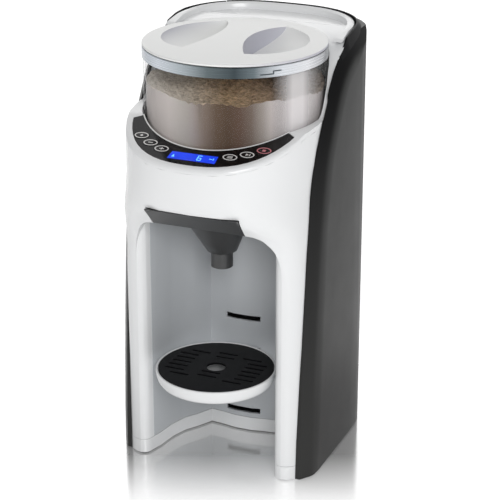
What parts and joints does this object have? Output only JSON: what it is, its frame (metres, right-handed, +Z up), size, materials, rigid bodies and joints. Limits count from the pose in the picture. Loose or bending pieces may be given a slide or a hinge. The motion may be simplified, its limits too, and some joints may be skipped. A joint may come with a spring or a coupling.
{
  "type": "baby formula maker",
  "caption": "Countertop formula maker: powder hopper with twist lid, curved control panel, funnel drawer, height-set drip tray in a serving bay and lift-off water tank.",
  "frame": {"origin": "under the middle of the whole machine, on the surface that its feet stand on", "axes": "+Z up, -Y towards the front with the control panel and serving bay, +X to the right seen from the front"},
  "size_m": [0.192, 0.2516, 0.3952],
  "materials": {
    "white_gloss": "polished white plastic",
    "liner_grey": "light grey moulded plastic",
    "shell_grey": "dark grey fine satin plastic",
    "panel_black": "piano black plastic",
    "button_black": "black plastic",
    "hopper_clear": "clear plastic",
    "tank_smoke": "smoke-grey clear plastic",
    "window_blue": "blue tinted clear plastic",
    "ring_silver": "silver lacquer",
    "funnel_grey": "charcoal plastic",
    "black_matte": "black moulded plastic",
    "rubber_black": "matte rubber",
    "silicone_pale": "soft pale silicone",
    "steel_bare": "bare steel",
    "board_green": "green circuit board",
    "gear_natural": "natural acetal"
  },
  "bodies": {
    "body": {"base_plate": "black_matte", "rubber_foot_1": "rubber_black", "rubber_foot_2": "rubber_black", "rubber_foot_3": "rubber_black", "rubber_foot_4": "rubber_black", "base_screw_1": "steel_bare", "base_screw_2": "steel_bare", "base_screw_3": "steel_bare", "base_screw_4": "steel_bare", "base_ring": "white_gloss", "front_housing": "white_gloss", "bay_liner": "liner_grey", "right_side_shell": "shell_grey", "left_side_shell": "shell_grey", "rear_cover": "shell_grey", "top_cover": "white_gloss", "control_panel": "panel_black", "display_window": "window_blue", "display_module": "black_matte", "control_board": "board_green", "hopper_seat": "white_gloss", "gear_axle": "steel_bare", "drive_plate": "steel_bare", "powder_motor": "steel_bare", "water_nozzle": "silicone_pale", "chassis": "steel_bare", "tank_shelf": "shell_grey", "water_pump": "black_matte", "water_heater": "steel_bare", "tank_hose": "silicone_pale", "pump_hose": "silicone_pale", "nozzle_hose": "silicone_pale", "main_board": "board_green", "power_inlet": "black_matte"},
    "hopper": {"hopper": "hopper_clear", "hopper_base": "white_gloss"},
    "powder_wheel": {"dosing_wheel": "silicone_pale", "stirring_paddle": "white_gloss"},
    "lid_seal": {"lid_gasket": "silicone_pale"},
    "lid": {"lid_cap": "white_gloss", "lid_ring": "ring_silver"},
    "drive_gear": {"drive_gear": "gear_natural"},
    "motor_pinion": {"motor_pinion": "gear_natural"},
    "funnel_drawer": {"funnel_holder": "funnel_grey", "mixing_funnel": "funnel_grey"},
    "drip_tray": {"drip_tray": "white_gloss", "tray_bracket": "white_gloss"},
    "drip_grate": {"drip_grate": "black_matte"},
    "water_tank": {"water_tank": "tank_smoke", "hinge_pin": "steel_bare"},
    "tank_lid": {"tank_lid": "white_gloss"},
    "tank_valve": {"tank_valve": "silicone_pale"},
    "button_1": {"button_1": "button_black"},
    "button_2": {"button_2": "button_black"},
    "button_3": {"button_3": "button_black"},
    "button_4": {"button_4": "button_black"},
    "button_5": {"button_5": "button_black"},
    "button_6": {"button_6": "button_black"}
  },
  "joints": [
    {"name": "hopper_lift", "type": "slide", "parent": "body", "child": "hopper", "axis": [0, 0, 1], "range_m": [0, 0.12]},
    {"name": "powder_wheel_spin", "type": "hinge", "parent": "hopper", "child": "powder_wheel", "pos_m": [0, -0.01625, 0.308], "axis": [0, 0, 1], "continuous": true},
    {"name": "lid_lift", "type": "slide", "parent": "hopper", "child": "lid_seal", "axis": [0, 0, 1], "range_m": [0, 0.05]},
    {"name": "lid_turn", "type": "hinge", "parent": "lid_seal", "child": "lid", "pos_m": [0, -0.01625, 0.386], "axis": [0, 0, 1], "range_deg": [0, 40]},
    {"name": "drive_gear_spin", "type": "hinge", "parent": "body", "child": "drive_gear", "pos_m": [0, -0.01625, 0.288], "axis": [0, 0, 1], "continuous": true},
    {"name": "motor_pinion_spin", "type": "hinge", "parent": "body", "child": "motor_pinion", "pos_m": [0, 0.02375, 0.288], "axis": [0, 0, 1], "continuous": true},
    {"name": "funnel_slide", "type": "slide", "parent": "body", "child": "funnel_drawer", "axis": [0, -1, 0], "range_m": [0, 0.11]},
    {"name": "tray_pull", "type": "slide", "parent": "body", "child": "drip_tray", "axis": [0, -1, 0], "range_m": [0, 0.14]},
    {"name": "grate_lift", "type": "slide", "parent": "drip_tray", "child": "drip_grate", "axis": [0, 0, 1], "range_m": [0, 0.04]},
    {"name": "tank_lift", "type": "slide", "parent": "body", "child": "water_tank", "axis": [0, 0, 1], "range_m": [0, 0.2]},
    {"name": "tank_lid_hinge", "type": "hinge", "parent": "water_tank", "child": "tank_lid", "pos_m": [0, 0.12315, 0.3795], "axis": [-1, 0, 0], "range_deg": [0, 95]},
    {"name": "tank_valve_slide", "type": "slide", "parent": "water_tank", "child": "tank_valve", "axis": [0, 0, 1], "range_m": [0, 0.003], "stiffness_N_per_m": 60, "springref_m": -0.002},
    {"name": "button_1_press", "type": "slide", "parent": "body", "child": "button_1", "axis": [0, 0.3219, -0.9468], "range_m": [0, 0.0008], "stiffness_N_per_m": 600, "springref_m": -0.0008},
    {"name": "button_2_press", "type": "slide", "parent": "body", "child": "button_2", "axis": [0, 0.3219, -0.9468], "range_m": [0, 0.0008], "stiffness_N_per_m": 600, "springref_m": -0.0008},
    {"name": "button_3_press", "type": "slide", "parent": "body", "child": "button_3", "axis": [0, 0.3219, -0.9468], "range_m": [0, 0.0008], "stiffness_N_per_m": 600, "springref_m": -0.0008},
    {"name": "button_4_press", "type": "slide", "parent": "body", "child": "button_4", "axis": [0, 0.3219, -0.9468], "range_m": [0, 0.0008], "stiffness_N_per_m": 600, "springref_m": -0.0008},
    {"name": "button_5_press", "type": "slide", "parent": "body", "child": "button_5", "axis": [0, 0.3219, -0.9468], "range_m": [0, 0.0008], "stiffness_N_per_m": 600, "springref_m": -0.0008},
    {"name": "button_6_press", "type": "slide", "parent": "body", "child": "button_6", "axis": [0, 0.3219, -0.9468], "range_m": [0, 0.0008], "stiffness_N_per_m": 600, "springref_m": -0.0008}
  ],
  "couplings": [
    {"joint": "drive_gear_spin", "follows": "powder_wheel_spin", "ratio": 1},
    {"joint": "motor_pinion_spin", "follows": "powder_wheel_spin", "ratio": -4}
  ]
}
